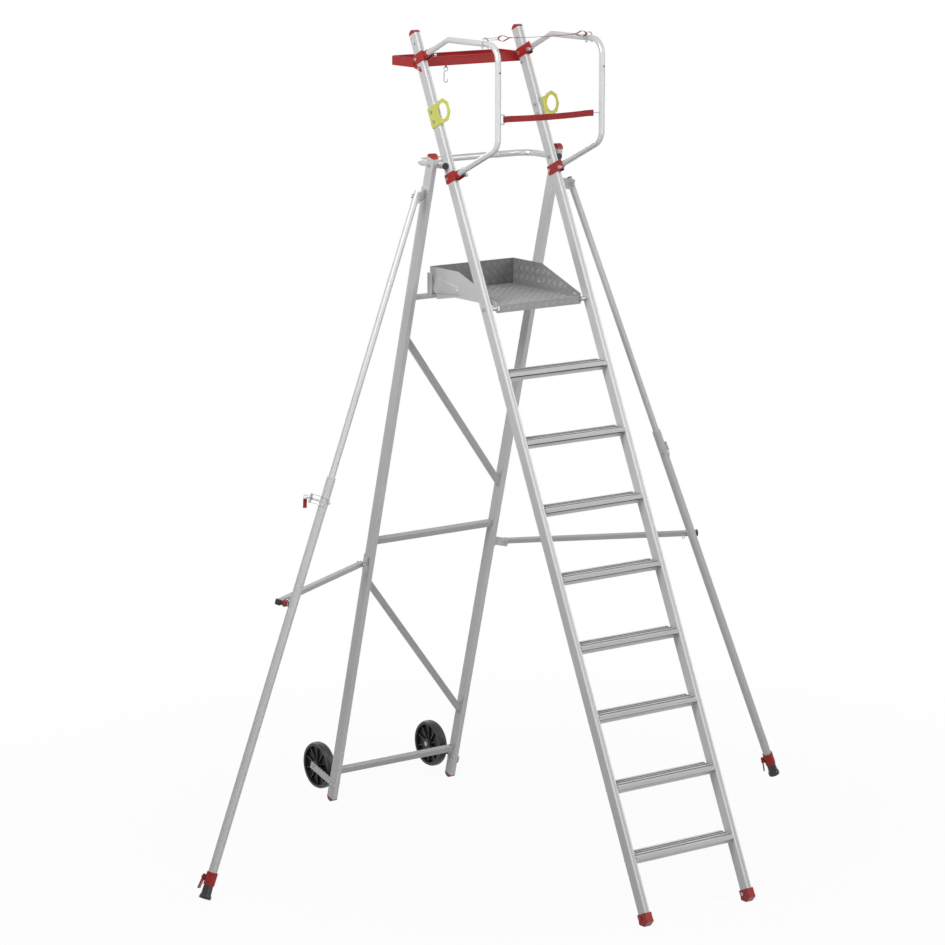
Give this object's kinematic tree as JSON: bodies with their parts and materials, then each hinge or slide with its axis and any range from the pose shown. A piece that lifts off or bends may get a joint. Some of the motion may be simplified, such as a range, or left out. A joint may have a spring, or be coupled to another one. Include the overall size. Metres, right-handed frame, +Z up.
{
  "type": "podium step",
  "caption": "Leaning podium step ladder with treads, guarded folding platform, folding rear frame on wheels and telescopic stabilisers.",
  "frame": {"origin": "on the ground under the middle of the object's bounding box", "axes": "+Z up, +X to the right of a person climbing, +Y away from the climber towards the rear frame"},
  "size_m": [2.9464, 2.3086, 3.2893],
  "materials": {
    "alu": "satin extruded",
    "red": "gloss powder coat",
    "redplastic": "moulded",
    "black": "matt",
    "blackplastic": "moulded",
    "steel": "zinc plated",
    "lime": "yellow passivated",
    "plate": "chequer plate",
    "web": "woven webbing"
  },
  "bodies": {
    "ladder": {"stile_left": "alu", "stile_right": "alu", "tread_1": "alu", "tread_2": "alu", "tread_3": "alu", "tread_4": "alu", "tread_5": "alu", "tread_6": "alu", "tread_7": "alu", "tread_8": "alu", "ladder_feet": "redplastic", "stile_caps": "redplastic", "tool_tray": "red", "guard_rail_left": "alu", "guard_rail_right": "alu", "rail_brackets": "red", "ladder_bolts": "steel", "anchor_plates": "lime", "strap_hardware": "steel", "strap_upper": "web", "strap_lower": "web", "hinge_pins": "steel", "platform_pivots": "steel"},
    "rear_frame": {"rear_leg_left": "alu", "rear_leg_right": "alu", "hinge_rail": "alu", "hinge_rail_plugs": "blackplastic", "crossbar_low": "alu", "crossbar_mid": "alu", "platform_rest": "alu", "diagonals": "alu", "leg_caps": "redplastic", "leg_plugs": "redplastic", "stabiliser_brackets": "alu", "brace_brackets": "alu", "wheel_arms": "alu", "frame_bolts": "steel", "platform_posts": "steel"},
    "platform": {"platform_deck": "plate", "platform_hooks": "alu"},
    "tray_hook": {"tray_hook": "steel"},
    "wheel_left": {"wheel_left": "blackplastic"},
    "stabiliser_left": {"inner_tube_left": "alu"},
    "extension_left": {"outer_tube_left": "alu", "collar_left": "redplastic"},
    "clamp_lever_left": {"collar_lever_left": "redplastic"},
    "foot_left": {"stabiliser_foot_left": "black"},
    "lock_pin_left": {"lock_pin_left": "steel"},
    "brace_left": {"brace_left": "alu"},
    "brace_pin_left": {"brace_pin_left": "steel"},
    "wheel_right": {"wheel_right": "blackplastic"},
    "stabiliser_right": {"inner_tube_right": "alu"},
    "extension_right": {"outer_tube_right": "alu", "collar_right": "redplastic"},
    "clamp_lever_right": {"collar_lever_right": "redplastic"},
    "foot_right": {"stabiliser_foot_right": "black"},
    "lock_pin_right": {"lock_pin_right": "steel"},
    "brace_right": {"brace_right": "alu"},
    "brace_pin_right": {"brace_pin_right": "steel"}
  },
  "joints": [
    {"name": "rear_fold", "type": "hinge", "parent": "ladder", "child": "rear_frame", "pos_m": [0, 0.15454, 2.77374], "axis": [-1, 0, 0], "range_deg": [0, 37.4]},
    {"name": "platform_tilt", "type": "hinge", "parent": "ladder", "child": "platform", "pos_m": [0, -0.096, 2.234], "axis": [1, 0, 0], "range_deg": [0, 63.58]},
    {"name": "tray_hook_swing", "type": "hinge", "parent": "ladder", "child": "tray_hook", "pos_m": [-0.107, 0.37687, 3.1365], "axis": [1, 0, 0], "range_deg": [-40, 40]},
    {"name": "wheel_left_spin", "type": "hinge", "parent": "rear_frame", "child": "wheel_left", "pos_m": [-0.291, 1.05434, 0.12543], "axis": [1, 0, 0], "continuous": true},
    {"name": "stabiliser_left_fold", "type": "hinge", "parent": "rear_frame", "child": "stabiliser_left", "pos_m": [-0.38247, 0.19461, 2.65408], "axis": [0.5815, -0.7858, -0.2106], "range_deg": [0, 23]},
    {"name": "brace_left_fold", "type": "hinge", "parent": "rear_frame", "child": "brace_left", "pos_m": [-0.36957, 0.61598, 1.09812], "axis": [0.5815, -0.7858, -0.2106], "range_deg": [0, 80.5]},
    {"name": "extension_left_slide", "type": "slide", "parent": "stabiliser_left", "child": "extension_left", "axis": [-0.3744, -0.0287, -0.9268], "range_m": [-0.08, 0.3]},
    {"name": "foot_left_slide", "type": "slide", "parent": "extension_left", "child": "foot_left", "axis": [-0.3744, -0.0287, -0.9268], "range_m": [0, 0.06]},
    {"name": "clamp_lever_left_open", "type": "hinge", "parent": "extension_left", "child": "clamp_lever_left", "pos_m": [-1.43799, 0.13795, 0.08931], "axis": [0.7223, 0.6178, -0.3109], "range_deg": [0, 100]},
    {"name": "lock_pin_left_pull", "type": "slide", "parent": "extension_left", "child": "lock_pin_left", "axis": [-0.5815, 0.7858, 0.2106], "range_m": [0, 0.05]},
    {"name": "brace_pin_left_pull", "type": "slide", "parent": "brace_left", "child": "brace_pin_left", "axis": [0.5197, -0.8284, -0.209], "range_m": [0, 0.012]},
    {"name": "wheel_right_spin", "type": "hinge", "parent": "rear_frame", "child": "wheel_right", "pos_m": [0.291, 1.05434, 0.12543], "axis": [1, 0, 0], "continuous": true},
    {"name": "stabiliser_right_fold", "type": "hinge", "parent": "rear_frame", "child": "stabiliser_right", "pos_m": [0.38247, 0.19461, 2.65408], "axis": [0.5815, 0.7858, 0.2106], "range_deg": [0, 23]},
    {"name": "brace_right_fold", "type": "hinge", "parent": "rear_frame", "child": "brace_right", "pos_m": [0.36957, 0.61598, 1.09812], "axis": [0.5815, 0.7858, 0.2106], "range_deg": [0, 80.5]},
    {"name": "extension_right_slide", "type": "slide", "parent": "stabiliser_right", "child": "extension_right", "axis": [0.3744, -0.0287, -0.9268], "range_m": [-0.08, 0.3]},
    {"name": "foot_right_slide", "type": "slide", "parent": "extension_right", "child": "foot_right", "axis": [0.3744, -0.0287, -0.9268], "range_m": [0, 0.06]},
    {"name": "clamp_lever_right_open", "type": "hinge", "parent": "extension_right", "child": "clamp_lever_right", "pos_m": [1.39992, 0.13304, 0.07408], "axis": [0.5815, 0.7858, 0.2106], "range_deg": [0, 100]},
    {"name": "lock_pin_right_pull", "type": "slide", "parent": "extension_right", "child": "lock_pin_right", "axis": [0.5815, 0.7858, 0.2106], "range_m": [0, 0.05]},
    {"name": "brace_pin_right_pull", "type": "slide", "parent": "brace_right", "child": "brace_pin_right", "axis": [-0.5197, -0.8284, -0.209], "range_m": [0, 0.012]}
  ],
  "couplings": [
    {"joint": "platform_tilt", "follows": "rear_fold", "ratio": 1.7},
    {"joint": "brace_left_fold", "follows": "stabiliser_left_fold", "ratio": 3.5},
    {"joint": "brace_right_fold", "follows": "stabiliser_right_fold", "ratio": 3.5}
  ]
}
